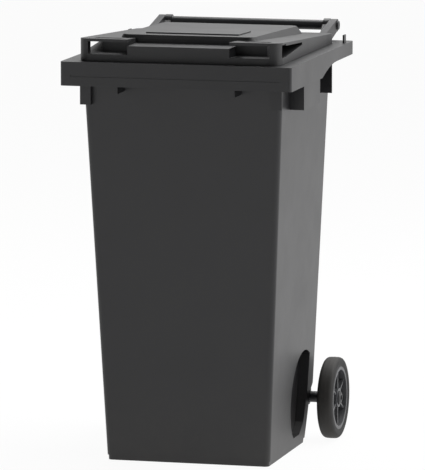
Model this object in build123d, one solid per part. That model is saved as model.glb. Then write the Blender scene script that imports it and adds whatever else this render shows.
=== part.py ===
"""A 240 litre two-wheeled refuse bin: container, lid, hinge pins, axle and wheels.

Millimetres, +Z up, X across the bin, the front of the bin towards -Y.
The origin is on the floor, midway between the front of the rim and the back of the handle.
"""
from build123d import *
import math
import os

# ---- overall ----
BIN_WIDTH = 580.0            # across the rim
BIN_DEPTH = 730.0            # front of the rim to the back of the handle end plates
RIM_DEPTH = 650.0            # front to back of the rim alone
RIM_HEIGHT = 1000.0          # floor to the top of the rim
WALL = 4.0                   # moulded wall of the container
CLEARANCE = 0.3              # gap between pieces that only pass each other

# ---- container ----
BODY_TOP_WIDTH = 506.0
BODY_FOOT_WIDTH = 414.0
BODY_TOP_FRONT_INSET = 62.0  # front wall behind the front of the rim, at the top
BODY_FOOT_FRONT_INSET = 116.0
BODY_TOP_REAR_INSET = 50.0   # rear wall ahead of the back of the rim, at the top
BODY_FOOT_REAR_INSET = 66.0
BODY_FRONT_CORNER = 14.0
BODY_REAR_CORNER = 50.0
FLOOR_THICKNESS = 5.0
FOOT_STRIP_HEIGHT = 12.0     # set-in strip round the foot
FOOT_STRIP_INSET = 2.5
RIM_THICKNESS = 4.0
RIM_CORNER = 9.0
FRONT_APRON_HEIGHT = 59.0
REAR_APRON_HEIGHT = 33.0
APRON_STEP_Y = -48.0         # where the side apron rises to its shallow rear part
APRON_STEP_LENGTH = 150.0
APRON_STEP_POINTS = 6
APRON_BEAD_DROP = 34.0       # middle of the bead below the rim
APRON_BEAD_HEIGHT = 5.0
APRON_BEAD_DEPTH = 1.6

# ---- ribs under the rim ----
RIB_THICKNESS = 4.0
SIDE_BOX_DROP = 120.0        # foot of the lifting boxes below the rim
SIDE_BOX_SETBACK = 6.0       # their outer plate inside the face of the apron
SIDE_BOX_FRONT = 155.0       # behind the front of the rim
SIDE_BOX_LENGTH = 165.0
SIDE_FIN_BACK = 445.0        # single fin near the back, behind the front of the rim
SIDE_FIN_DROP = 110.0
FRONT_RIB_PITCH = 73.5
FRONT_RIB_COUNT = 7
FRONT_RIB_DROP = 50.0
LONG_RIB_DROP = 76.0         # the second rib from each end
CORNER_RIB_BACK = 53.0       # corner gussets behind the front of the rim
CORNER_RIB_REACH = 254.0     # outer edge of the gussets from the middle of the bin
CORNER_RIB_DROP = 110.0
GUIDE_TAB_WIDTH = 20.0       # small tabs on the rim that centre the closing lid
GUIDE_TAB_HEIGHT = 20.0
GUIDE_TAB_X = 279.0
GUIDE_TAB_BACK = 597.0

# ---- handle ----
HANDLE_RADIUS = 12.5
HANDLE_HEIGHT = 1031.0
END_PLATE_RADIUS = 17.0
END_PLATE_INNER_X = 199.0
END_PLATE_THICKNESS = 16.0
HANDLE_WALL = 3.5            # wall of the grip tube
SPIGOT_LENGTH = 22.0         # how far each end plate reaches into the tube

# ---- lid ----
LID_WALL = 3.5
LID_WIDTH = 508.0
LID_FRONT_INSET = 30.0       # lid front behind the front of the rim
LID_REAR_INSET = 50.0        # lid rear ahead of the back of the rim
LID_GAP = 0.6                # lid above the rim
LID_CORNER = 34.0
LID_FRONT_HEIGHT = 55.0      # top of the lid's edge above the rim, at the front
LID_REAR_HEIGHT = 23.0
LEDGE_HEIGHT = 39.0          # ledge between the grips, above the rim
LEDGE_HALF_WIDTH = 128.0
PANEL_HEIGHT = 59.0          # raised middle of the lid above the rim, at its front
PANEL_REAR_HEIGHT = 45.0
PANEL_HALF_WIDTH = 190.0
PANEL_SETBACK = 82.0         # its front behind the front of the lid
PANEL_REAR_MARGIN = 40.0
PANEL_SLOPE_INSET = 24.0     # how far its sides lean in
PAD_HALF_WIDTH = 118.0
PAD_HEIGHT = 3.0
PAD_SETBACK = 50.0           # behind the front of the raised middle
PAD_LENGTH = 120.0
GRIP_FLOOR_HEIGHT = 17.0     # floor of the grip pocket above the rim
GRIP_BAR_THICKNESS = 7.0
GRIP_BAR_DEPTH = 34.0
GRIP_SIDE_LENGTH = 225.0
GRIP_SIDE_WIDTH = 46.0
GRIP_POCKET_DEPTH = 62.0
GRIP_POST = 26.0

# ---- lid hinge ----
HINGE_ARM_THICKNESS = 18.0
HINGE_EYE_RADIUS = 16.0
HINGE_PIN_RADIUS = 6.0
HINGE_PIN_RUNNING = 0.08     # radial clearance of the pin in the lid's eye
HINGE_PIN_HEAD_RADIUS = 11.0
HINGE_PIN_HEAD_LENGTH = 4.0
HINGE_PIN_GRIP = 34.0        # length of pin inside the end plate and its spigot

# ---- wheels and axle ----
WHEEL_RADIUS = 103.0
WHEEL_WIDTH = 40.0
WHEEL_OUTER_X = 282.0
AXLE_RADIUS = 10.0
AXLE_RUNNING = 0.08          # radial clearance of the axle in a wheel hub
AXLE_Y = 195.0
AXLE_END_GAP = 1.0           # axle end inside the hub's outer face
TYRE_BAND = 24.0             # radial thickness of the rubber
TYRE_SHOULDER = 9.0
RIM_WEB_THICKNESS = 6.0
RIM_WEB_INSET = 12.0         # dished web behind the wheel's outer face, at the hub
RIM_WEB_DISH = 10.0          # how much further in it sits at the band
WHEEL_RIM_BAND = 8.0
RIM_SETBACK = 2.0            # plastic centre inside the tyre's side faces
HUB_SETBACK = 3.0            # hub's outer face inside the plastic centre's edge
HUB_RADIUS = 24.0
BUSH_WALL = 4.0
SPOKE_COUNT = 6
SPOKE_THICKNESS = 5.0
CAP_RADIUS = 17.0
CAP_HEIGHT = 6.0
CAP_DIMPLE_RADIUS = 7.5
CAP_DIMPLE_DEPTH = 4.0
LOCK_PIN_RADIUS = 3.5
LOCK_GROOVE_DEPTH = 2.0
LOCK_BORE_RADIUS = 3.8
LOCK_PIN_LENGTH = 6.0
LOCK_ROOF = 3.0              # plastic left above the lock spring
LOCK_INSET = 12.0            # lock pin outward of the wheel's inner face
LOCK_SPRING_WIRE = 1.0
SLEEVE_WALL = 4.0
RECESS_RADIUS = 119.0        # curved front of the recess in each side wall
RECESS_Y = 68.0
RECESS_Z = 123.0
RECESS_FOOT = 30.0
RECESS_REAR = (              # its back edge, as (y, z) from the foot up
    (54.0, 30.0), (92.0, 56.0), (118.0, 123.0), (130.0, 245.0),
)
RECESS_DEPTH = 24.0
HEEL_PROFILE = (             # rear of the container below the axle, as (y, z)
    (110.0, 0.0), (136.0, 74.0), (145.0, 108.0), (158.0, 131.0), (185.0, 147.0), (240.0, 158.0),
)
AXLE_CHEEK_THICKNESS = 8.0
AXLE_CHEEK_XS = (50.0, 130.0, 196.0)
AXLE_CHEEK_RADIUS = 20.0

# ---- worked out from the values above ----
FRONT = -BIN_DEPTH / 2
RIM_REAR = FRONT + RIM_DEPTH
HINGE_Y = BIN_DEPTH / 2 - END_PLATE_RADIUS
LID_FRONT = FRONT + LID_FRONT_INSET
LID_REAR = RIM_REAR - LID_REAR_INSET
LID_FOOT = RIM_HEIGHT + LID_GAP
PANEL_FRONT = LID_FRONT + PANEL_SETBACK
PANEL_REAR = LID_REAR - PANEL_REAR_MARGIN
END_PLATE_OUTER_X = END_PLATE_INNER_X + END_PLATE_THICKNESS
ARM_INNER_X = END_PLATE_OUTER_X + CLEARANCE
ARM_OUTER_X = ARM_INNER_X + HINGE_ARM_THICKNESS
WHEEL_INNER_X = WHEEL_OUTER_X - WHEEL_WIDTH
LOCK_X = WHEEL_INNER_X + LOCK_INSET
LOCK_FOOT = WHEEL_RADIUS + AXLE_RADIUS - LOCK_GROOVE_DEPTH + CLEARANCE
HUB_OUTER_X = WHEEL_OUTER_X - RIM_SETBACK - HUB_SETBACK


def block(x0, x1, y0, y1, z0, z1):
    """A box between two corners."""
    size = (x1 - x0, y1 - y0, z1 - z0)
    return Pos((x0 + x1) / 2, (y0 + y1) / 2, (z0 + z1) / 2) * Box(*size)


def section(x_half, y0, y1, front_radius, z, rear_radius=None):
    """A rounded rectangle lying at height z."""
    outline = Plane.XY.offset(z) * Pos(0, (y0 + y1) / 2) * Rectangle(2 * x_half, y1 - y0)
    outline = fillet(outline.vertices().group_by(Axis.Y)[0], front_radius)
    return fillet(outline.vertices().group_by(Axis.Y)[-1], rear_radius or front_radius)


def x_rod(radius, x0, x1, y, z):
    """A round bar along X."""
    return Plane.YZ.offset(x0) * Pos(y, z) * extrude(Circle(radius), x1 - x0)


def x_prism(points, x0, x1):
    """A flat outline in Y and Z, made solid from x0 to x1."""
    face = make_face(Polyline(*points, close=True))
    return Plane.YZ.offset(x0) * extrude(face, x1 - x0)


def mirrored(shape):
    """The same shape on the other side of the bin."""
    return mirror(shape, Plane.YZ)


def wall_at(top_value, foot_value, z):
    """A size of the tapered container at height z."""
    return foot_value + (top_value - foot_value) * z / RIM_HEIGHT


def tapered_form(inset, z0, z1):
    """The container's tapered shape, drawn in by inset, from z0 to z1."""
    ends = []
    for z in (z0, z1):
        half = wall_at(BODY_TOP_WIDTH, BODY_FOOT_WIDTH, z) / 2 - inset
        front = FRONT + wall_at(BODY_TOP_FRONT_INSET, BODY_FOOT_FRONT_INSET, z) + inset
        rear = RIM_REAR - wall_at(BODY_TOP_REAR_INSET, BODY_FOOT_REAR_INSET, z) - inset
        corners = (BODY_FRONT_CORNER - inset, BODY_REAR_CORNER - inset)
        ends.append(section(half, front, rear, corners[0], z, corners[1]))
    return loft(ends, ruled=True)


def heel(grow):
    """Outline of the room behind the container's heel, drawn forward by grow."""
    points = [(y - grow, z + grow * (i > 1)) for i, (y, z) in enumerate(HEEL_PROFILE)]
    foot = (points[0][0] - 1, -FLOOR_THICKNESS)
    return [foot, *points, (BIN_DEPTH, points[-1][1]), (BIN_DEPTH, -FLOOR_THICKNESS)]


def running_gear_space(grow):
    """The room that the wheels and the axle take out of the container, grown by grow."""
    wall_x = wall_at(BODY_TOP_WIDTH, BODY_FOOT_WIDTH, WHEEL_RADIUS) / 2
    recess = x_rod(
        RECESS_RADIUS + grow, wall_x - RECESS_DEPTH - grow, BIN_WIDTH / 2, RECESS_Y, RECESS_Z
    )
    back = [(y + grow, z - grow) for y, z in RECESS_REAR[:-1]]
    back.append((RECESS_REAR[-1][0] + grow, RECESS_REAR[-1][1] + grow))
    keep = x_prism(
        [(-BIN_DEPTH, RECESS_FOOT - grow), *back, (-BIN_DEPTH, back[-1][1])], 0, BIN_WIDTH
    )
    recess = recess & keep
    return recess + mirrored(recess) + x_prism(heel(grow), -BIN_WIDTH / 2, BIN_WIDTH / 2)


def container_shell():
    """The tapered walls and floor, with wheel arches and an axle tunnel moulded in."""
    outer = tapered_form(0, FOOT_STRIP_HEIGHT, RIM_HEIGHT)
    outer += tapered_form(FOOT_STRIP_INSET, 0, FOOT_STRIP_HEIGHT)
    outer -= running_gear_space(0)
    inner = tapered_form(WALL, FLOOR_THICKNESS, RIM_HEIGHT + 1)
    inner -= running_gear_space(WALL)
    return outer - inner


def rim():
    """The flat rim and the apron that hangs from it."""
    half = BIN_WIDTH / 2
    drop = FRONT_APRON_HEIGHT
    outer = extrude(section(half, FRONT, RIM_REAR, RIM_CORNER, RIM_HEIGHT - drop), drop)
    t = RIM_THICKNESS
    hollow = extrude(
        section(half - t, FRONT + t, RIM_REAR - t, RIM_CORNER - t, RIM_HEIGHT - drop), drop - t
    )
    mouth = tapered_form(WALL, RIM_HEIGHT - drop, RIM_HEIGHT)
    rise = drop - REAR_APRON_HEIGHT
    step = [(APRON_STEP_Y, RIM_HEIGHT - drop - 1)]
    for i in range(1, APRON_STEP_POINTS + 1):
        share = i / APRON_STEP_POINTS
        z = RIM_HEIGHT - drop + rise * math.sin(share * math.pi / 2)
        step.append((APRON_STEP_Y + APRON_STEP_LENGTH * share, z))
    rear_cut = x_prism(
        [
            *step,
            (RIM_REAR + 1, RIM_HEIGHT - REAR_APRON_HEIGHT),
            (RIM_REAR + 1, RIM_HEIGHT - drop - 1),
        ],
        -half - 1, half + 1,
    )
    ring = outer - hollow - mouth - rear_cut
    bead_z = RIM_HEIGHT - APRON_BEAD_DROP
    bead = block(
        -half + 3 * RIM_CORNER, half - 3 * RIM_CORNER, FRONT, FRONT + APRON_BEAD_DEPTH,
        bead_z - APRON_BEAD_HEIGHT / 2, bead_z + APRON_BEAD_HEIGHT / 2,
    )
    return ring - bead


def hanging_plate(x0, x1, y0, y1, drop):
    """A plain plate that hangs under the rim."""
    return block(x0, x1, y0, y1, RIM_HEIGHT - drop, RIM_HEIGHT - RIM_THICKNESS / 2)


def rim_ribs():
    """Plates between the walls and the apron, which take the load when the bin is lifted."""
    t = RIB_THICKNESS
    inner = BODY_FOOT_WIDTH / 2 + 20
    outer = BIN_WIDTH / 2 - SIDE_BOX_SETBACK
    box_front = FRONT + SIDE_BOX_FRONT
    box_rear = box_front + SIDE_BOX_LENGTH
    fin = FRONT + SIDE_FIN_BACK
    gusset = FRONT + CORNER_RIB_BACK
    one_side = [
        hanging_plate(inner, outer, box_front, box_front + t, SIDE_BOX_DROP),
        hanging_plate(inner, outer, box_rear - t, box_rear, SIDE_BOX_DROP),
        hanging_plate(outer - t, outer, box_front, box_rear, SIDE_BOX_DROP),
        hanging_plate(inner, outer, fin - t / 2, fin + t / 2, SIDE_FIN_DROP),
        hanging_plate(inner, CORNER_RIB_REACH, gusset - t / 2, gusset + t / 2, CORNER_RIB_DROP)
        + hanging_plate(inner, inner + t, gusset, FRONT + BODY_FOOT_FRONT_INSET, CORNER_RIB_DROP),
    ]
    ribs = one_side + [mirrored(rib) for rib in one_side]
    first = -(FRONT_RIB_COUNT - 1) / 2 * FRONT_RIB_PITCH
    wall_y = FRONT + BODY_TOP_FRONT_INSET + 14
    for i in range(FRONT_RIB_COUNT):
        x = first + i * FRONT_RIB_PITCH
        is_long = i in (1, FRONT_RIB_COUNT - 2)
        drop = LONG_RIB_DROP if is_long else FRONT_RIB_DROP
        ribs.append(hanging_plate(x - t / 2, x + t / 2, FRONT + 2, wall_y, drop))
    total = ribs[0]
    for rib in ribs[1:]:
        total += rib
    return total - tapered_form(WALL, 0, RIM_HEIGHT + 1)


def guide_tabs():
    """Small upright tabs on the rim beside the back of the lid."""
    y = FRONT + GUIDE_TAB_BACK
    tab = block(
        GUIDE_TAB_X - RIB_THICKNESS / 2, GUIDE_TAB_X + RIB_THICKNESS / 2,
        y - GUIDE_TAB_WIDTH / 2, y + GUIDE_TAB_WIDTH / 2,
        RIM_HEIGHT - RIM_THICKNESS / 2, RIM_HEIGHT + GUIDE_TAB_HEIGHT,
    )
    return tab + mirrored(tab)


def end_plates():
    """The two plates behind the rim that carry the grip tube and the lid's hinge pins."""
    foot = RIM_HEIGHT - REAR_APRON_HEIGHT
    radius = END_PLATE_RADIUS
    eye = x_rod(radius, END_PLATE_INNER_X, END_PLATE_OUTER_X, HINGE_Y, HANDLE_HEIGHT)
    arm = x_prism(
        [
            (RIM_REAR - RIM_THICKNESS, RIM_HEIGHT - RIM_THICKNESS / 2),
            (RIM_REAR - RIM_THICKNESS, foot),
            (HINGE_Y - radius * 0.2, HANDLE_HEIGHT - radius * 0.97),
            (HINGE_Y, HANDLE_HEIGHT),
            (HINGE_Y - radius * 0.97, HANDLE_HEIGHT + radius * 0.2),
        ],
        END_PLATE_INNER_X, END_PLATE_OUTER_X,
    )
    spigot = x_rod(
        HANDLE_RADIUS - HANDLE_WALL, END_PLATE_INNER_X - SPIGOT_LENGTH, END_PLATE_INNER_X,
        HINGE_Y, HANDLE_HEIGHT,
    )
    bore = x_rod(
        HINGE_PIN_RADIUS, END_PLATE_OUTER_X - HINGE_PIN_GRIP, END_PLATE_OUTER_X + 1,
        HINGE_Y, HANDLE_HEIGHT,
    )
    plate = eye + arm + spigot - bore
    return plate + mirrored(plate)


def make_handle_tube():
    """The grip tube across the back."""
    x = END_PLATE_INNER_X
    tube = x_rod(HANDLE_RADIUS, -x, x, HINGE_Y, HANDLE_HEIGHT)
    return tube - x_rod(HANDLE_RADIUS - HANDLE_WALL, -x, x, HINGE_Y, HANDLE_HEIGHT)


def axle_cheeks():
    """Plates behind the heel that carry the axle."""
    top = max(z for y, z in HEEL_PROFILE) + WALL
    cheeks = None
    for x in AXLE_CHEEK_XS:
        x0, x1 = x - AXLE_CHEEK_THICKNESS / 2, x + AXLE_CHEEK_THICKNESS / 2
        cheek = x_rod(AXLE_CHEEK_RADIUS, x0, x1, AXLE_Y, WHEEL_RADIUS) + x_prism(
            [
                (AXLE_Y - AXLE_CHEEK_RADIUS * 0.7, WHEEL_RADIUS - AXLE_CHEEK_RADIUS * 0.7),
                (HEEL_PROFILE[1][0] - WALL, HEEL_PROFILE[1][1] - WALL),
                (HEEL_PROFILE[1][0] - WALL, WHEEL_RADIUS),
                (AXLE_Y - AXLE_CHEEK_RADIUS, top),
                (AXLE_Y + AXLE_CHEEK_RADIUS, top),
                (AXLE_Y + AXLE_CHEEK_RADIUS, WHEEL_RADIUS),
            ],
            x0, x1,
        )
        pair = cheek + mirrored(cheek)
        cheeks = pair if cheeks is None else cheeks + pair
    inside = tapered_form(WALL, 0, RIM_HEIGHT) - running_gear_space(WALL)
    cheeks -= inside
    return cheeks - x_rod(AXLE_RADIUS, -BIN_WIDTH / 2, BIN_WIDTH / 2, AXLE_Y, WHEEL_RADIUS)


def make_container():
    """The whole one-piece moulding."""
    shape = container_shell() + rim() + rim_ribs() + guide_tabs()
    return shape + end_plates() + axle_cheeks()


def grip_space(grow):
    """The two finger pockets in the lid's front corners, grown by grow."""
    half = LID_WIDTH / 2
    z0 = RIM_HEIGHT + GRIP_FLOOR_HEIGHT - grow
    bar_foot = RIM_HEIGHT + LID_FRONT_HEIGHT - GRIP_BAR_THICKNESS
    top = RIM_HEIGHT + PANEL_HEIGHT + 20
    back = LID_FRONT + GRIP_POCKET_DEPTH + grow
    inner = LEDGE_HALF_WIDTH - grow
    front = block(inner, half + 20, LID_FRONT - 20, back, z0, bar_foot)
    side_rear = LID_FRONT + GRIP_SIDE_LENGTH + grow
    side_inner = half - GRIP_SIDE_WIDTH - grow
    slope = (LID_FRONT_HEIGHT - LID_REAR_HEIGHT) / (LID_REAR - LID_FRONT)
    side = x_prism(
        [
            (LID_FRONT - 20, z0),
            (back, z0),
            (side_rear, bar_foot - slope * GRIP_SIDE_LENGTH - 6 - grow),
            (side_rear, bar_foot - slope * GRIP_SIDE_LENGTH),
            (LID_FRONT - 20, bar_foot),
        ],
        side_inner, half + 20,
    )
    hole_front = LID_FRONT + GRIP_BAR_DEPTH - grow
    hole = block(
        inner + 24, half - GRIP_BAR_DEPTH + grow, hole_front, back, z0, top
    )
    post_x = half - GRIP_POST
    post = block(
        post_x + grow, half + 30, LID_FRONT - 30, LID_FRONT + GRIP_POST - grow, z0 - 1, bar_foot + 1
    )
    space = front + side + hole - post
    return space + mirrored(space)


def lid_form(inset):
    """The lid's outer shape, drawn in by inset, with its ledge, raised middle and pad."""
    half = LID_WIDTH / 2 - inset
    front, rear = LID_FRONT + inset, LID_REAR - inset
    foot = LID_FOOT if inset == 0 else LID_FOOT - 1
    high = RIM_HEIGHT + LID_FRONT_HEIGHT - inset
    low = RIM_HEIGHT + LID_REAR_HEIGHT - inset
    base = extrude(section(half, front, rear, LID_CORNER - inset, foot), high + 5 - foot)
    above = x_prism(
        [
            (LID_FRONT - 1, high), (LID_REAR + 1, low),
            (LID_REAR + 1, high + 30), (LID_FRONT - 1, high + 30),
        ],
        -half - 1, half + 1,
    )
    ledge = block(
        -LEDGE_HALF_WIDTH - inset, LEDGE_HALF_WIDTH + inset, LID_FRONT - 1, PANEL_FRONT + inset,
        RIM_HEIGHT + LEDGE_HEIGHT - inset, high + 30,
    )
    panel_foot = low - 2
    panel_top = RIM_HEIGHT + PANEL_HEIGHT - inset
    rear_top = RIM_HEIGHT + PANEL_REAR_HEIGHT - inset
    lean = PANEL_SLOPE_INSET
    panel_half = PANEL_HALF_WIDTH - inset
    panel_front, panel_rear = PANEL_FRONT + inset, PANEL_REAR - inset
    panel = loft(
        [
            section(panel_half, panel_front, panel_rear, 30, panel_foot),
            section(panel_half - lean, panel_front + 3, panel_rear - lean, 24, panel_top + 1),
        ],
        ruled=True,
    )

    def over(rise):
        """Everything above the sloping top of the raised middle, rise higher than it."""
        return x_prism(
            [
                (LID_FRONT, panel_top + rise), (PANEL_FRONT, panel_top + rise),
                (PANEL_REAR, rear_top + rise), (LID_REAR, rear_top + rise),
                (LID_REAR, panel_top + 40), (LID_FRONT, panel_top + 40),
            ],
            -half, half,
        )

    pad_front = PANEL_FRONT + PAD_SETBACK
    pad = extrude(
        section(PAD_HALF_WIDTH - inset, pad_front + inset, pad_front + PAD_LENGTH - inset, 4, rear_top - 2),
        panel_top - rear_top + 20,
    )
    return base - above - ledge + (panel - over(0)) + (pad - over(PAD_HEIGHT))


def hinge_arm():
    """One of the lid's two arms, which reach back to the hinge pins."""
    eye = x_rod(HINGE_EYE_RADIUS, ARM_INNER_X, ARM_OUTER_X, HINGE_Y, HANDLE_HEIGHT)
    low = RIM_HEIGHT + LID_REAR_HEIGHT
    arm = x_prism(
        [
            (LID_REAR - LID_WALL, LID_FOOT + 1),
            (RIM_REAR + 6, LID_FOOT + 1),
            (HINGE_Y - 4, HANDLE_HEIGHT - HINGE_EYE_RADIUS * 0.97),
            (HINGE_Y, HANDLE_HEIGHT),
            (HINGE_Y, HANDLE_HEIGHT + HINGE_EYE_RADIUS),
            (LID_REAR - LID_WALL, low),
        ],
        ARM_INNER_X, ARM_OUTER_X,
    )
    bore = x_rod(
        HINGE_PIN_RADIUS + HINGE_PIN_RUNNING, ARM_INNER_X - 1, ARM_OUTER_X + 1, HINGE_Y, HANDLE_HEIGHT
    )
    return eye + arm - bore


def make_lid():
    """The one-piece lid, hollow from below."""
    shell = (lid_form(0) - grip_space(0)) - (lid_form(LID_WALL) - grip_space(LID_WALL))
    arm = hinge_arm()
    return shell + arm + mirrored(arm)


def make_hinge_pin():
    """A headed pin through the lid's arm into the end of the handle."""
    shank = x_rod(
        HINGE_PIN_RADIUS, END_PLATE_OUTER_X - HINGE_PIN_GRIP + 1, ARM_OUTER_X + CLEARANCE,
        HINGE_Y, HANDLE_HEIGHT,
    )
    head_x = ARM_OUTER_X + CLEARANCE
    head = x_rod(
        HINGE_PIN_HEAD_RADIUS, head_x, head_x + HINGE_PIN_HEAD_LENGTH, HINGE_Y, HANDLE_HEIGHT
    )
    return shank + head


def wheel_profile(points):
    """A ring round the right wheel's axis, from (radius, x) points."""
    face = make_face(Polyline(*points, close=True))
    turned = revolve(face, Axis.Y)
    # sketch X is the radius and sketch Y runs along the axle
    return Pos(0, AXLE_Y, WHEEL_RADIUS) * (Rot(0, 0, -90) * turned)


def make_tyre():
    """Solid rubber tyre of the right wheel, with rounded shoulders."""
    r0, r1 = WHEEL_RADIUS - TYRE_BAND, WHEEL_RADIUS
    s = TYRE_SHOULDER
    ring = wheel_profile(
        [(r0, WHEEL_INNER_X), (r1, WHEEL_INNER_X), (r1, WHEEL_OUTER_X), (r0, WHEEL_OUTER_X)]
    )
    edges = [
        e for e in ring.edges().filter_by(GeomType.CIRCLE)
        if abs(e.radius - r1) < 0.1
    ]
    return fillet(edges, s)


def lock_bore():
    """The blind radial hole in the hub for the lock pin and its spring."""
    bore = Cylinder(
        LOCK_BORE_RADIUS, HUB_RADIUS - LOCK_ROOF, align=(Align.CENTER, Align.CENTER, Align.MIN)
    )
    return Pos(LOCK_X, AXLE_Y, WHEEL_RADIUS) * bore


def make_wheel_rim():
    """Plastic centre of the right wheel: band, web, spokes and hub."""
    band_out = WHEEL_RADIUS - TYRE_BAND
    band_in = band_out - WHEEL_RIM_BAND
    x_in, x_out = WHEEL_INNER_X + RIM_SETBACK, WHEEL_OUTER_X - RIM_SETBACK
    bore = AXLE_RADIUS + AXLE_RUNNING + BUSH_WALL
    web_out = WHEEL_OUTER_X - RIM_WEB_INSET
    web_in = web_out - RIM_WEB_THICKNESS
    dish = RIM_WEB_DISH
    band = wheel_profile([(band_in, x_in), (band_out, x_in), (band_out, x_out), (band_in, x_out)])
    web = wheel_profile(
        [(bore, web_in), (band_in + 1, web_in - dish), (band_in + 1, web_out - dish), (bore, web_out)]
    )
    hub_out = x_out - HUB_SETBACK
    hub = wheel_profile([(bore, x_in), (HUB_RADIUS, x_in), (HUB_RADIUS, hub_out), (bore, hub_out)])
    body = band + web + hub
    length = band_in - HUB_RADIUS + 2
    for i in range(SPOKE_COUNT):
        spoke = block(
            web_in - dish, x_out - 6, -SPOKE_THICKNESS / 2, SPOKE_THICKNESS / 2,
            HUB_RADIUS - 1, HUB_RADIUS - 1 + length,
        )
        turn = Rot(360 / SPOKE_COUNT * i, 0, 0)
        body += Pos(0, AXLE_Y, WHEEL_RADIUS) * (turn * spoke)
    return body - lock_bore()


def make_hub_bush():
    """Bearing sleeve pressed into the hub, which turns on the axle."""
    r0 = AXLE_RADIUS + AXLE_RUNNING
    r1 = r0 + BUSH_WALL
    x0, x1 = WHEEL_INNER_X + RIM_SETBACK, WHEEL_OUTER_X - RIM_SETBACK - HUB_SETBACK
    return wheel_profile([(r0, x0), (r1, x0), (r1, x1), (r0, x1)]) - lock_bore()


def make_lock_pin():
    """Pin in the hub that drops into the axle's groove and keeps the wheel on."""
    align = (Align.CENTER, Align.CENTER, Align.MIN)
    return Pos(LOCK_X, AXLE_Y, LOCK_FOOT) * Cylinder(LOCK_PIN_RADIUS, LOCK_PIN_LENGTH, align=align)


def make_lock_spring():
    """Coil spring above the lock pin, drawn as a thin tube of its outer size."""
    foot = LOCK_FOOT + LOCK_PIN_LENGTH
    length = WHEEL_RADIUS + HUB_RADIUS - LOCK_ROOF - foot
    align = (Align.CENTER, Align.CENTER, Align.MIN)
    coil = Cylinder(LOCK_PIN_RADIUS, length, align=align)
    coil -= Cylinder(LOCK_PIN_RADIUS - LOCK_SPRING_WIRE, length, align=align)
    return Pos(LOCK_X, AXLE_Y, foot) * coil


def make_hub_cap():
    """Cap pressed over the outer face of the hub."""
    x0, x1 = HUB_OUTER_X, HUB_OUTER_X + CAP_HEIGHT
    dimple = x1 - CAP_DIMPLE_DEPTH
    return wheel_profile(
        [
            (0, x0), (CAP_RADIUS, x0), (CAP_RADIUS, x0 + CAP_HEIGHT / 2), (CAP_RADIUS * 0.7, x1),
            (CAP_DIMPLE_RADIUS, x1), (CAP_DIMPLE_RADIUS, dimple), (0, dimple),
        ]
    )


def make_sleeve():
    """Spacer between the container and the wheel."""
    wall_x = AXLE_CHEEK_XS[-1] + AXLE_CHEEK_THICKNESS / 2
    r0 = AXLE_RADIUS
    r1 = AXLE_RADIUS + SLEEVE_WALL
    x0, x1 = wall_x, WHEEL_INNER_X + RIM_SETBACK - CLEARANCE
    return wheel_profile([(r0, x0), (r1, x0), (r1, x1), (r0, x1)])


def make_axle():
    """Steel axle with a groove for each wheel's lock pin."""
    end = HUB_OUTER_X - AXLE_END_GAP
    axle = x_rod(AXLE_RADIUS, -end, end, AXLE_Y, WHEEL_RADIUS)
    groove_half = LOCK_PIN_RADIUS + 0.5
    x = LOCK_X
    groove = wheel_profile(
        [(AXLE_RADIUS - LOCK_GROOVE_DEPTH, x - groove_half), (AXLE_RADIUS + 1, x - groove_half),
         (AXLE_RADIUS + 1, x + groove_half), (AXLE_RADIUS - LOCK_GROOVE_DEPTH, x + groove_half)]
    )
    return axle - groove - mirrored(groove)


def main():
    os.makedirs("parts", exist_ok=True)
    pieces = {
        "container": make_container(),
        "lid": make_lid(),
        "handle_tube": make_handle_tube(),
        "axle": make_axle(),
    }
    right_hand = {
        "hinge_pin": make_hinge_pin(),
        "tyre": make_tyre(),
        "wheel_rim": make_wheel_rim(),
        "hub_bush": make_hub_bush(),
        "hub_cap": make_hub_cap(),
        "lock_pin": make_lock_pin(),
        "lock_spring": make_lock_spring(),
        "axle_sleeve": make_sleeve(),
    }
    for name, shape in right_hand.items():
        pieces[name + "_right"] = shape
        pieces[name + "_left"] = mirrored(shape)
    for name, shape in pieces.items():
        export_step(shape, f"parts/{name}.step")


if __name__ == "__main__":
    main()
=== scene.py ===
"""Looks of a two-wheeled refuse bin: moulded container and lid, grip bar, axle and wheels.

Laid out as a Blender add-on. Each operator finishes one piece, or one group of like pieces,
of the jointed frame that is loaded below. Everything is in metres in that frame, with the
floor at z = 0 and the front of the bin towards -Y.
"""
import math

import bmesh
import bpy
from mathutils import Matrix, Vector


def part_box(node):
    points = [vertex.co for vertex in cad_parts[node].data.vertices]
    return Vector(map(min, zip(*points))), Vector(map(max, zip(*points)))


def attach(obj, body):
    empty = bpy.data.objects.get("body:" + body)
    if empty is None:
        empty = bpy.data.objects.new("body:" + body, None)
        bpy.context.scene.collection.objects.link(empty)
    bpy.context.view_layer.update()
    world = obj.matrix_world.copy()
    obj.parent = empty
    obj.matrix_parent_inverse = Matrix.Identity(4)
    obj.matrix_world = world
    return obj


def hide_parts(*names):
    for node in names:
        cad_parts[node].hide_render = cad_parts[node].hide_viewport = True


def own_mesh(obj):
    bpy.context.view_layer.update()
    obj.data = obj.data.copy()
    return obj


bl_info = {
    "name": "Refuse Bin Looks",
    "version": (1, 0, 0),
    "blender": (4, 5, 0),
    "location": "3D View > Sidebar > Refuse Bin",
    "description": "Builds the finished surfaces of a two-wheeled refuse bin",
    "category": "Object",
}

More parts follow.
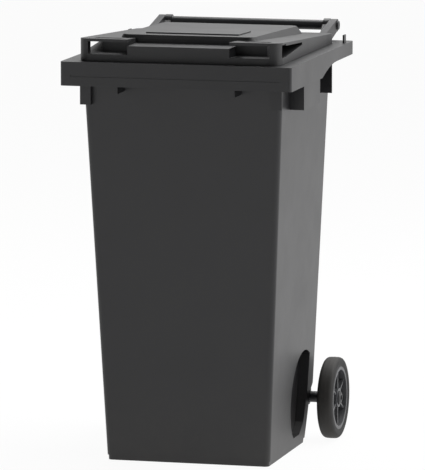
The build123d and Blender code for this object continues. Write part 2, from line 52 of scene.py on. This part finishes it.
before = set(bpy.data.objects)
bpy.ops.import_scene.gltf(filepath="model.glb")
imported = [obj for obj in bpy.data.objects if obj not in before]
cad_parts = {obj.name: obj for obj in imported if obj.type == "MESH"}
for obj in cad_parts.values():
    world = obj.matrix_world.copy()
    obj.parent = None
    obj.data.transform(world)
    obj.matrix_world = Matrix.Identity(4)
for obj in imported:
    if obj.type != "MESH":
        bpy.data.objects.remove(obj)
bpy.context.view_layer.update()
MM = 0.001
SIDES = ("left", "right")
FLOOR_DROP = 0.5 * MM
CAMERA_PLACE = (3.529, -13.435, 2.492)
CAMERA_AZIMUTH, CAMERA_ELEVATION = math.radians(14.725), math.radians(8.022)
LENS_MM, SENSOR_MM = 431.0, 36.0


# ---------------------------------------------------------------- settings

class BinSizeSettings(bpy.types.PropertyGroup):
    """Sizes of the finish that a user may change."""

    moulding_radius: bpy.props.FloatProperty(
        name="Moulding Radius", description="Rounding on the outside edges of the big mouldings",
        default=1.3 * MM, min=0.2 * MM, max=5 * MM, unit="LENGTH", precision=4,
    )
    fitting_radius: bpy.props.FloatProperty(
        name="Fitting Radius", description="Rounding on the edges of pins, sleeves and caps",
        default=0.7 * MM, min=0.1 * MM, max=2 * MM, unit="LENGTH", precision=4,
    )
    tyre_shoulder: bpy.props.FloatProperty(
        name="Tyre Shoulder", description="Rounding where the tread meets the tyre's side",
        default=11 * MM, min=3 * MM, max=15 * MM, unit="LENGTH", precision=4,
    )
    tread_crown: bpy.props.FloatProperty(
        name="Tread Crown",
        description="How much lower the tread is at its edges than at its middle",
        default=0.8 * MM, min=0.0, max=3 * MM, unit="LENGTH", precision=4,
    )
    grain: bpy.props.FloatProperty(
        name="Mould Grain", description="Size of the grain that the mould leaves on the plastic",
        default=3.0 * MM, min=0.3 * MM, max=8 * MM, unit="LENGTH", precision=4,
    )


class BinColourSettings(bpy.types.PropertyGroup):
    """Colours of the finish, as sRGB hex values."""

    shell: bpy.props.StringProperty(
        name="Container and Lid", description="Anthracite of the moulded polyethylene",
        default="#1D1D1F",
    )
    fittings: bpy.props.StringProperty(
        name="Fittings", description="Black plastic of pins, sleeves and the grip tube",
        default="#1E1F22",
    )
    tyre: bpy.props.StringProperty(
        name="Tyre", description="Solid black rubber", default="#0B0B0C"
    )
    wheel: bpy.props.StringProperty(
        name="Wheel Centre", description="Grey polypropylene of the wheel's centre",
        default="#48494C",
    )
    bush: bpy.props.StringProperty(
        name="Hub Bush", description="Natural nylon of the bearing sleeve", default="#8B8A84"
    )
    dust: bpy.props.StringProperty(
        name="Dust", description="Dry street dust that settles low on the bin", default="#77726A"
    )
    backdrop: bpy.props.StringProperty(
        name="Backdrop", description="Pale floor and background of the studio", default="#FFFFFF"
    )


# ---------------------------------------------------------------- mesh helpers

def place_piece(mesh_source, name, body, material, stands_for):
    """Makes an object of a bmesh, rides it on its body and lets it stand for a frame node."""
    mesh = bpy.data.meshes.new(name)
    mesh_source.to_mesh(mesh)
    mesh_source.free()
    piece = bpy.data.objects.new(name, mesh)
    bpy.context.scene.collection.objects.link(piece)
    mesh.materials.append(material)
    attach(piece, body)
    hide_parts(stands_for)
    return piece


def soften(piece, radius, segments=3, angle=28.0):
    """Rounds the sharp edges of a moulding, and shades the rest smooth."""
    for polygon in piece.data.polygons:
        polygon.use_smooth = True
    bevel = piece.modifiers.new("moulded_edges", "BEVEL")
    bevel.width = radius
    bevel.segments = segments
    bevel.limit_method = "ANGLE"
    bevel.angle_limit = math.radians(angle)
    bevel.use_clamp_overlap = True
    bevel.harden_normals = True
    bevel.miter_outer = "MITER_ARC"
    flats = piece.modifiers.new("flat_faces_stay_flat", "WEIGHTED_NORMAL")
    flats.mode = "FACE_AREA_WITH_ANGLE"
    flats.weight = 100
    flats.keep_sharp = False
    return piece


def merged_copy(node_name):
    """A copy of a frame node's mesh with its loose triangles joined into flat faces."""
    copy = bmesh.new()
    copy.from_mesh(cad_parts[node_name].data)
    bmesh.ops.remove_doubles(copy, verts=copy.verts, dist=0.01 * MM)
    bmesh.ops.dissolve_limit(
        copy, angle_limit=math.radians(0.6), use_dissolve_boundaries=False,
        verts=copy.verts, edges=copy.edges,
    )
    return copy


def turned_ring(profile, centre, steps=96):
    """A closed ring turned round the X direction from (radius, x) points."""
    ring = bmesh.new()
    verts = [ring.verts.new((x, 0.0, radius)) for radius, x in profile]
    edges = [ring.edges.new((verts[i - 1], verts[i])) for i in range(len(verts))]
    bmesh.ops.spin(
        ring, geom=verts + edges, cent=(0, 0, 0), axis=(1, 0, 0), angle=math.tau,
        steps=steps, use_merge=True, use_duplicate=False,
    )
    bmesh.ops.remove_doubles(ring, verts=ring.verts, dist=0.005 * MM)
    bmesh.ops.recalc_face_normals(ring, faces=ring.faces)
    bmesh.ops.translate(ring, verts=ring.verts, vec=centre)
    return ring


def rounded(corner, before, after, radius, steps=5):
    """Points on the round that replaces a corner of a flat outline."""
    corner, before, after = Vector(corner), Vector(before), Vector(after)
    start = corner + (before - corner).normalized() * radius
    end = corner + (after - corner).normalized() * radius
    points = []
    for i in range(steps + 1):
        t = i / steps
        p = start.lerp(corner, t).lerp(corner.lerp(end, t), t)
        points.append((p.x, p.y))
    return points


# ---------------------------------------------------------------- materials

def linear(hex_colour):
    """Linear RGBA of an sRGB hex colour."""
    text = hex_colour.lstrip("#")
    parts = [int(text[i:i + 2], 16) / 255 for i in (0, 2, 4)]
    return [c / 12.92 if c <= 0.04045 else ((c + 0.055) / 1.055) ** 2.4 for c in parts] + [1.0]


def shade(colour, factor):
    """A linear colour made lighter or darker."""
    return [min(1.0, c * factor) for c in colour[:3]] + [1.0]


def add_node(tree, kind, inputs=None, **settings):
    """Adds a node with its settings, and sets or links its inputs."""
    made = tree.nodes.new(kind)
    for name, value in settings.items():
        setattr(made, name, value)
    for name, value in (inputs or {}).items():
        if isinstance(value, bpy.types.NodeSocket):
            tree.links.new(value, made.inputs[name])
        else:
            made.inputs[name].default_value = value
    return made


def new_material(name):
    """An empty material and its node tree."""
    material = bpy.data.materials.new(name)
    material.use_nodes = True
    material.node_tree.nodes.clear()
    return material, material.node_tree


def moulded_plastic(name, colour, grain, roughness, dusty=0.0, scuffed=0.0):
    """Injection-moulded plastic: satin, with the mould's fine grain, flow marks, scuffs and dust."""
    material, tree = new_material(name)
    base = linear(colour)
    dust = linear(bpy.context.scene.bin_colours.dust)
    place = add_node(tree, "ShaderNodeTexCoord").outputs["Object"]
    # flow marks: broad, faint clouds where the melt cooled at different speeds, about 150 mm
    flow = add_node(
        tree, "ShaderNodeTexNoise",
        {"Vector": place, "Scale": 1 / 0.150, "Detail": 3.0, "Roughness": 0.5},
    ).outputs["Fac"]
    tone = add_node(
        tree, "ShaderNodeMix",
        {"Factor": flow, 6: shade(base, 0.88), 7: shade(base, 1.12)}, data_type="RGBA",
    ).outputs[2]
    # grain of the spark-eroded mould, really about 0.5 mm, drawn at 3 mm so that it shows
    fine = add_node(
        tree, "ShaderNodeTexNoise",
        {"Vector": place, "Scale": 1 / grain, "Detail": 2.0, "Roughness": 0.6},
    ).outputs["Fac"]
    # scuffs: long faint scrapes from handling, lighter than the plastic, about 16 mm across
    stretched = add_node(
        tree, "ShaderNodeMapping",
        {"Vector": place, "Rotation": (0.5, 0.35, 0.2), "Scale": (1.0, 0.9, 0.14)},
    ).outputs["Vector"]
    scrape = add_node(
        tree, "ShaderNodeTexNoise",
        {"Vector": stretched, "Scale": 1 / 0.016, "Detail": 4.0, "Roughness": 0.62},
    ).outputs["Fac"]
    scrape = add_node(
        tree, "ShaderNodeMapRange",
        {"Value": scrape, "From Min": 0.62, "From Max": 0.74, "To Min": 0.0, "To Max": scuffed},
    ).outputs["Result"]
    # worn edges: the rounded corners rub paler than the flats
    soft_normal = add_node(
        tree, "ShaderNodeBevel", {"Radius": 3.0 * MM}, samples=4
    ).outputs["Normal"]
    true_normal = add_node(tree, "ShaderNodeNewGeometry").outputs["Normal"]
    bend = add_node(
        tree, "ShaderNodeVectorMath", {0: soft_normal, 1: true_normal}, operation="DOT_PRODUCT"
    ).outputs["Value"]
    edge = add_node(
        tree, "ShaderNodeMapRange",
        {"Value": bend, "From Min": 0.995, "From Max": 0.90, "To Min": 0.0, "To Max": 0.22},
    ).outputs["Result"]
    wear = add_node(
        tree, "ShaderNodeMath", {0: scrape, 1: edge}, operation="MAXIMUM"
    ).outputs["Value"]
    worn = add_node(
        tree, "ShaderNodeMix", {"Factor": wear, 6: tone, 7: shade(base, 2.2)}, data_type="RGBA"
    ).outputs[2]
    # dust: thicker towards the ground, broken up at the size of splashes, about 30 mm
    height = add_node(tree, "ShaderNodeSeparateXYZ", {"Vector": place}).outputs["Z"]
    low = add_node(
        tree, "ShaderNodeMapRange",
        {"Value": height, "From Min": 0.0, "From Max": 0.22, "To Min": dusty, "To Max": 0.0},
    ).outputs["Result"]
    splash = add_node(
        tree, "ShaderNodeTexNoise",
        {"Vector": place, "Scale": 1 / 0.030, "Detail": 5.0, "Roughness": 0.65},
    ).outputs["Fac"]
    dirt = add_node(
        tree, "ShaderNodeMath", {0: low, 1: splash}, operation="MULTIPLY"
    ).outputs["Value"]
    surface = add_node(
        tree, "ShaderNodeMix", {"Factor": dirt, 6: worn, 7: dust}, data_type="RGBA"
    ).outputs[2]
    gloss = add_node(
        tree, "ShaderNodeMapRange",
        {"Value": flow, "To Min": roughness - 0.05, "To Max": roughness + 0.07},
    ).outputs["Result"]
    gloss = add_node(
        tree, "ShaderNodeMath", {0: dirt, 1: 0.6, 2: gloss}, operation="MULTIPLY_ADD"
    ).outputs["Value"]
    bump = add_node(
        tree, "ShaderNodeBump", {"Height": fine, "Strength": 0.12, "Distance": 0.4 * MM}
    ).outputs["Normal"]
    bump = add_node(
        tree, "ShaderNodeBump",
        {"Height": flow, "Strength": 0.35, "Distance": 3.0 * MM, "Normal": bump},
    ).outputs["Normal"]
    shader = add_node(
        tree, "ShaderNodeBsdfPrincipled",
        {"Base Color": surface, "Roughness": gloss, "IOR": 1.52, "Normal": bump},
    )
    add_node(tree, "ShaderNodeOutputMaterial", {"Surface": shader.outputs["BSDF"]})
    return material


def black_rubber(name, colour):
    """Solid vulcanised rubber: nearly black, dull, grey with dust where it meets the road."""
    material, tree = new_material(name)
    base = linear(colour)
    dust = linear(bpy.context.scene.bin_colours.dust)
    place = add_node(tree, "ShaderNodeTexCoord").outputs["Object"]
    cloud = add_node(
        tree, "ShaderNodeTexNoise",
        {"Vector": place, "Scale": 1 / 0.018, "Detail": 5.0, "Roughness": 0.6},
    ).outputs["Fac"]
    # distance from the axle finds the tread, which carries most of the road dust
    axle = (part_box("axle")[0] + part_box("axle")[1]) / 2
    moved = add_node(
        tree, "ShaderNodeVectorMath", {0: place, 1: axle}, operation="SUBTRACT"
    ).outputs["Vector"]
    flat = add_node(
        tree, "ShaderNodeVectorMath", {0: moved, 1: (0.0, 1.0, 1.0)}, operation="MULTIPLY"
    ).outputs["Vector"]
    reach = add_node(
        tree, "ShaderNodeVectorMath", {0: flat}, operation="LENGTH"
    ).outputs["Value"]
    tread = add_node(
        tree, "ShaderNodeMapRange",
        {"Value": reach, "From Min": 0.096, "From Max": 0.1025, "To Min": 0.02, "To Max": 0.22},
    ).outputs["Result"]
    dirt = add_node(
        tree, "ShaderNodeMath", {0: tread, 1: cloud}, operation="MULTIPLY"
    ).outputs["Value"]
    surface = add_node(
        tree, "ShaderNodeMix", {"Factor": dirt, 6: base, 7: dust}, data_type="RGBA"
    ).outputs[2]
    gloss = add_node(
        tree, "ShaderNodeMapRange", {"Value": cloud, "To Min": 0.55, "To Max": 0.85}
    ).outputs["Result"]
    # pitted skin of the moulded rubber, pits about 1.5 mm
    pits = add_node(
        tree, "ShaderNodeTexNoise",
        {"Vector": place, "Scale": 1 / 0.0015, "Detail": 2.0, "Roughness": 0.5},
    ).outputs["Fac"]
    bump = add_node(
        tree, "ShaderNodeBump", {"Height": pits, "Strength": 0.25, "Distance": 0.3 * MM}
    ).outputs["Normal"]
    shader = add_node(
        tree, "ShaderNodeBsdfPrincipled",
        {"Base Color": surface, "Roughness": gloss, "IOR": 1.52, "Normal": bump},
    )
    add_node(tree, "ShaderNodeOutputMaterial", {"Surface": shader.outputs["BSDF"]})
    return material


def zinc_plated_steel(name, colour="#A9ABAD"):
    """Bright zinc on drawn steel bar: cool grey, with drawing lines along the bar and dull spots."""
    material, tree = new_material(name)
    base = linear(colour)
    place = add_node(tree, "ShaderNodeTexCoord").outputs["Object"]
    # drawing lines run along the bar, 0.7 mm apart
    along = add_node(
        tree, "ShaderNodeMapping", {"Vector": place, "Scale": (0.02, 1.0, 1.0)}
    ).outputs["Vector"]
    lines = add_node(
        tree, "ShaderNodeTexNoise",
        {"Vector": along, "Scale": 1 / 0.0007, "Detail": 2.0, "Roughness": 0.5},
    ).outputs["Fac"]
    bloom = add_node(
        tree, "ShaderNodeTexNoise",
        {"Vector": place, "Scale": 1 / 0.012, "Detail": 4.0, "Roughness": 0.6},
    ).outputs["Fac"]
    surface = add_node(
        tree, "ShaderNodeMix", {"Factor": bloom, 6: shade(base, 0.75), 7: shade(base, 1.1)},
        data_type="RGBA",
    ).outputs[2]
    gloss = add_node(
        tree, "ShaderNodeMapRange", {"Value": bloom, "To Min": 0.28, "To Max": 0.52}
    ).outputs["Result"]
    bump = add_node(
        tree, "ShaderNodeBump", {"Height": lines, "Strength": 0.2, "Distance": 0.05 * MM}
    ).outputs["Normal"]
    shader = add_node(
        tree, "ShaderNodeBsdfPrincipled",
        {"Base Color": surface, "Metallic": 1.0, "Roughness": gloss, "Normal": bump},
    )
    add_node(tree, "ShaderNodeOutputMaterial", {"Surface": shader.outputs["BSDF"]})
    return material


# ---------------------------------------------------------------- pieces

class BIN_OT_mouldings(bpy.types.Operator):
    """Finish the container and the lid"""

    bl_idname = "refuse_bin.mouldings"
    bl_label = "Container and Lid"

    def execute(self, context):
        sizes, colours = context.scene.bin_sizes, context.scene.bin_colours
        # high-density polyethylene in anthracite: waxy satin, never quite flat
        shell = moulded_plastic(
            "moulded_polyethylene_container", colours.shell, sizes.grain, 0.38,
            dusty=0.12, scuffed=0.07,
        )
        top = moulded_plastic(
            "moulded_polyethylene_lid", colours.shell, sizes.grain, 0.44, scuffed=0.09
        )
        for node, body, slot, material in (
            ("container", "frame", "container", shell),
            ("lid", "lid", "lid", top),
        ):
            piece = place_piece(merged_copy(node), node + "_moulding", body, material, node)
            soften(piece, sizes.moulding_radius)
        return {"FINISHED"}


class BIN_OT_handle(bpy.types.Operator):
    """Finish the grip tube and the lid's hinge pins"""

    bl_idname = "refuse_bin.handle"
    bl_label = "Grip Tube and Hinge Pins"

    def execute(self, context):
        sizes, colours = context.scene.bin_sizes, context.scene.bin_colours
        grip = moulded_plastic(
            "extruded_polyethylene_grip", colours.fittings, sizes.grain, 0.42, scuffed=0.25
        )
        nylon = moulded_plastic("glass_filled_nylon_pins", colours.fittings, sizes.grain, 0.5)
        piece = place_piece(
            merged_copy("handle_tube"), "grip_tube", "frame", grip, "handle_tube"
        )
        soften(piece, sizes.fitting_radius)
        for side in SIDES:
            node = f"hinge_pin_{side}"
            pin = place_piece(
                merged_copy(node), f"lid_hinge_pin_{side}", "frame", nylon, node
            )
            soften(pin, sizes.fitting_radius)
        return {"FINISHED"}


class BIN_OT_axle(bpy.types.Operator):
    """Finish the axle and its spacer sleeves"""

    bl_idname = "refuse_bin.axle"
    bl_label = "Axle and Sleeves"

    def execute(self, context):
        sizes, colours = context.scene.bin_sizes, context.scene.bin_colours
        zinc = zinc_plated_steel("zinc_plated_axle_steel")
        sleeve = moulded_plastic("polypropylene_sleeves", colours.fittings, sizes.grain, 0.5)
        bar = place_piece(merged_copy("axle"), "axle_bar", "frame", zinc, "axle")
        soften(bar, sizes.fitting_radius)
        for side in SIDES:
            node = f"axle_sleeve_{side}"
            piece = place_piece(
                merged_copy(node), f"spacer_sleeve_{side}", "frame", sleeve, node
            )
            soften(piece, sizes.fitting_radius)
        return {"FINISHED"}


class BIN_OT_tyres(bpy.types.Operator):
    """Turn the solid rubber tyres"""

    bl_idname = "refuse_bin.tyres"
    bl_label = "Tyres"

    def execute(self, context):
        sizes, colours = context.scene.bin_sizes, context.scene.bin_colours
        rubber = black_rubber("solid_black_rubber", colours.tyre)
        for side in SIDES:
            node = f"tyre_{side}"
            low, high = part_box(node)
            rim_low, rim_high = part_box(f"wheel_rim_{side}")
            centre = (low + high) / 2
            outer = (high.y - low.y) / 2
            inner = (rim_high.y - rim_low.y) / 2
            half = (high.x - low.x) / 2
            crown, lip = sizes.tread_crown, 2.0 * MM
            corners = [
                (inner, -half + lip), (inner + 5 * MM, -half), (outer - crown, -half),
                (outer, 0.0), (outer - crown, half), (inner + 5 * MM, half), (inner, half - lip),
            ]
            profile = [corners[0], corners[1]]
            profile += rounded(corners[2], corners[1], corners[3], sizes.tyre_shoulder)
            # flash line that the two halves of the mould leave round the middle of the tread
            profile += [
                (outer - 0.25 * MM, -1.2 * MM), (outer, -0.5 * MM), (outer, 0.5 * MM),
                (outer - 0.25 * MM, 1.2 * MM),
            ]
            profile += rounded(corners[4], corners[3], corners[5], sizes.tyre_shoulder)
            profile += [corners[5], corners[6]]
            ring = turned_ring(profile, centre)
            tyre = place_piece(ring, f"rubber_tyre_{side}", f"wheel_{side}", rubber, node)
            soften(tyre, 0.6 * MM, segments=2, angle=35.0)
        return {"FINISHED"}


class BIN_OT_wheels(bpy.types.Operator):
    """Finish the wheel centres, bushes and caps"""

    bl_idname = "refuse_bin.wheels"
    bl_label = "Wheel Centres"

    def execute(self, context):
        sizes, colours = context.scene.bin_sizes, context.scene.bin_colours
        centre = moulded_plastic(
            "moulded_polypropylene_wheel", colours.wheel, sizes.grain, 0.40,
            dusty=0.15, scuffed=0.08,
        )
        nylon = moulded_plastic("natural_nylon_bush", colours.bush, sizes.grain, 0.45)
        cap = moulded_plastic("polypropylene_hub_cap", colours.fittings, sizes.grain, 0.38)
        for side in SIDES:
            for node, name, slot, material in (
                (f"wheel_rim_{side}", f"wheel_centre_{side}", "wheel_rim", centre),
                (f"hub_bush_{side}", f"bearing_bush_{side}", "bush", nylon),
                (f"hub_cap_{side}", f"hub_cover_{side}", "hub_cap", cap),
            ):
                piece = place_piece(merged_copy(node), name, f"wheel_{side}", material, node)
                soften(piece, sizes.fitting_radius)
        return {"FINISHED"}


class BIN_OT_locks(bpy.types.Operator):
    """Finish the lock pins and wind their springs"""

    bl_idname = "refuse_bin.locks"
    bl_label = "Hub Locks"

    def execute(self, context):
        sizes = context.scene.bin_sizes
        steel = zinc_plated_steel("hardened_lock_steel", "#8E8F92")
        wire = zinc_plated_steel("spring_steel_wire", "#7C7E82")
        for side in SIDES:
            node = f"lock_pin_{side}"
            pin = place_piece(
                merged_copy(node), f"hub_lock_pin_{side}", f"lock_{side}", steel, node
            )
            soften(pin, sizes.fitting_radius)
            node = f"lock_spring_{side}"
            low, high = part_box(node)
            coil = wound_coil(low, high, wire_radius=0.4 * MM, turns=5)
            spring = place_piece(
                coil, f"hub_lock_coil_{side}", f"wheel_{side}", wire, node
            )
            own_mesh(spring)
        return {"FINISHED"}


def wound_coil(low, high, wire_radius, turns):
    """A compression spring of round wire that fills the box of its stand-in tube."""
    centre = (low + high) / 2
    radius = (high.x - low.x) / 2 - wire_radius
    steps = 16 * turns
    rise = (high.z - low.z - 2 * wire_radius) / steps
    coil = bmesh.new()
    section = bmesh.ops.create_circle(coil, cap_ends=False, segments=8, radius=wire_radius)["verts"]
    upright = Matrix.Rotation(math.pi / 2, 3, "X")
    bmesh.ops.rotate(coil, verts=section, cent=(0, 0, 0), matrix=upright)
    bmesh.ops.translate(coil, verts=section, vec=(radius, 0, 0))
    edges = list(coil.edges)
    bmesh.ops.spin(
        coil, geom=section + edges, cent=(0, 0, 0), axis=(0, 0, 1), dvec=(0, 0, rise),
        angle=math.tau * turns, steps=steps, use_merge=False, use_duplicate=False,
    )
    bmesh.ops.holes_fill(coil, edges=[e for e in coil.edges if e.is_boundary], sides=8)
    bmesh.ops.recalc_face_normals(coil, faces=coil.faces)
    bmesh.ops.translate(
        coil, verts=coil.verts, vec=(centre.x, centre.y, low.z + wire_radius)
    )
    for face in coil.faces:
        face.smooth = True
    return coil


# ---------------------------------------------------------------- stage

def soft_box(name, place, target, size, power):
    """A square studio lamp behind cloth, turned towards the target."""
    lamp = bpy.data.lights.new(name, "AREA")
    lamp.shape = "SQUARE"
    lamp.size = size
    lamp.energy = power
    holder = bpy.data.objects.new(name, lamp)
    holder.location = place
    holder.rotation_mode = "QUATERNION"
    holder.rotation_quaternion = (Vector(target) - Vector(place)).to_track_quat("-Z", "Y")
    bpy.context.scene.collection.objects.link(holder)
    return holder


class BIN_OT_stage(bpy.types.Operator):
    """Set up the floor, lamps, backdrop and camera"""

    bl_idname = "refuse_bin.stage"
    bl_label = "Studio"

    def execute(self, context):
        scene = context.scene
        scene.view_settings.view_transform = "Standard"
        pale = linear(scene.bin_colours.backdrop)

        floor_mesh = bmesh.new()
        bmesh.ops.create_grid(floor_mesh, x_segments=1, y_segments=1, size=30.0)
        # a hair below the bin, so that the bin's own underside stays whole
        bmesh.ops.translate(floor_mesh, verts=floor_mesh.verts, vec=(0, 0, -FLOOR_DROP))
        mesh = bpy.data.meshes.new("studio_floor")
        floor_mesh.to_mesh(mesh)
        floor_mesh.free()
        floor = bpy.data.objects.new("studio_floor", mesh)
        scene.collection.objects.link(floor)
        material, tree = new_material("white_paper_sweep")
        # the paper keeps a soft shadow, and is otherwise as white as the backdrop
        paper = add_node(tree, "ShaderNodeBsdfDiffuse", {"Color": shade(pale, 0.9)})
        glow = add_node(tree, "ShaderNodeEmission", {"Color": pale, "Strength": 1.0})
        seen = add_node(tree, "ShaderNodeLightPath")
        direct = add_node(
            tree, "ShaderNodeMath",
            {0: seen.outputs["Is Camera Ray"], 1: seen.outputs["Is Glossy Ray"]}, operation="MAXIMUM",
        )
        direct = add_node(
            tree, "ShaderNodeMath",
            {0: direct.outputs["Value"], 1: seen.outputs["Is Transmission Ray"]}, operation="MAXIMUM",
        )
        share = add_node(
            tree, "ShaderNodeMath", {0: direct.outputs["Value"], 1: 0.94}, operation="MULTIPLY"
        )
        mixed = add_node(
            tree, "ShaderNodeMixShader",
            {0: share.outputs["Value"], 1: paper.outputs["BSDF"], 2: glow.outputs["Emission"]},
        )
        add_node(tree, "ShaderNodeOutputMaterial", {"Surface": mixed.outputs["Shader"]})
        mesh.materials.append(material)

        world = bpy.data.worlds.new("studio_room")
        scene.world = world
        world.use_nodes = True
        tree = world.node_tree
        tree.nodes.clear()
        # the room is pale behind the bin and to its right, and dark behind the viewer
        way = add_node(tree, "ShaderNodeTexCoord").outputs["Generated"]
        facing = add_node(
            tree, "ShaderNodeVectorMath", {0: way, 1: (0.50, 0.80, 0.25)}, operation="DOT_PRODUCT"
        ).outputs["Value"]
        room = add_node(
            tree, "ShaderNodeMapRange",
            {"Value": facing, "From Min": -0.5, "From Max": 0.8, "To Min": 0.08, "To Max": 0.82},
            interpolation_type="SMOOTHSTEP",
        ).outputs["Result"]
        dim = add_node(tree, "ShaderNodeBackground", {"Color": pale, "Strength": room})
        white = add_node(tree, "ShaderNodeBackground", {"Color": pale, "Strength": 1.0})
        seen = add_node(tree, "ShaderNodeLightPath")
        direct = add_node(
            tree, "ShaderNodeMath",
            {0: seen.outputs["Is Camera Ray"], 1: seen.outputs["Is Transmission Ray"]},
            operation="MAXIMUM",
        )
        mixed = add_node(
            tree, "ShaderNodeMixShader",
            {0: direct.outputs["Value"], 1: dim.outputs["Background"], 2: white.outputs["Background"]},
        )
        add_node(tree, "ShaderNodeOutputWorld", {"Surface": mixed.outputs["Shader"]})

        middle = (0.0, 0.0, 0.5)
        soft_box("side_soft_box", (4.4, 1.0, 2.9), middle, 4.2, 118)
        soft_box("top_soft_box", (0.4, 1.6, 3.8), middle, 2.8, 125)
        soft_box("front_fill", (-2.6, -4.5, 2.0), middle, 3.0, 17)

        lens = bpy.data.cameras.new("long_lens")
        camera = bpy.data.objects.new("long_lens", lens)
        scene.collection.objects.link(camera)
        scene.camera = camera
        back = Vector((
            math.sin(CAMERA_AZIMUTH) * math.cos(CAMERA_ELEVATION),
            -math.cos(CAMERA_AZIMUTH) * math.cos(CAMERA_ELEVATION),
            math.sin(CAMERA_ELEVATION),
        ))
        camera.location = CAMERA_PLACE
        camera.rotation_mode = "QUATERNION"
        camera.rotation_quaternion = (-back).to_track_quat("-Z", "Y")
        lens.sensor_width = SENSOR_MM
        lens.lens = LENS_MM
        lens.clip_end = 100.0
        return {"FINISHED"}


# ---------------------------------------------------------------- panel and run

class BIN_PT_panel(bpy.types.Panel):
    """Lists the steps that build the refuse bin."""

    bl_idname = "BIN_PT_panel"
    bl_label = "Refuse Bin"
    bl_space_type = "VIEW_3D"
    bl_region_type = "UI"
    bl_category = "Refuse Bin"

    def draw(self, context):
        column = self.layout.column(align=True)
        for step in STEPS:
            column.operator(step.bl_idname)
        for group in (context.scene.bin_sizes, context.scene.bin_colours):
            box = self.layout.box()
            for name in group.__annotations__:
                box.prop(group, name)


STEPS = (
    BIN_OT_mouldings,
    BIN_OT_handle,
    BIN_OT_axle,
    BIN_OT_tyres,
    BIN_OT_wheels,
    BIN_OT_locks,
    BIN_OT_stage,
)
CLASSES = (BinSizeSettings, BinColourSettings, *STEPS, BIN_PT_panel)


def register():
    for cls in CLASSES:
        bpy.utils.register_class(cls)
    bpy.types.Scene.bin_sizes = bpy.props.PointerProperty(type=BinSizeSettings)
    bpy.types.Scene.bin_colours = bpy.props.PointerProperty(type=BinColourSettings)


def unregister():
    del bpy.types.Scene.bin_colours
    del bpy.types.Scene.bin_sizes
    for cls in reversed(CLASSES):
        bpy.utils.unregister_class(cls)


def main():
    register()
    bpy.ops.refuse_bin.mouldings()
    bpy.ops.refuse_bin.handle()
    bpy.ops.refuse_bin.axle()
    bpy.ops.refuse_bin.tyres()
    bpy.ops.refuse_bin.wheels()
    bpy.ops.refuse_bin.locks()
    bpy.ops.refuse_bin.stage()


if __name__ == "__main__":
    main()
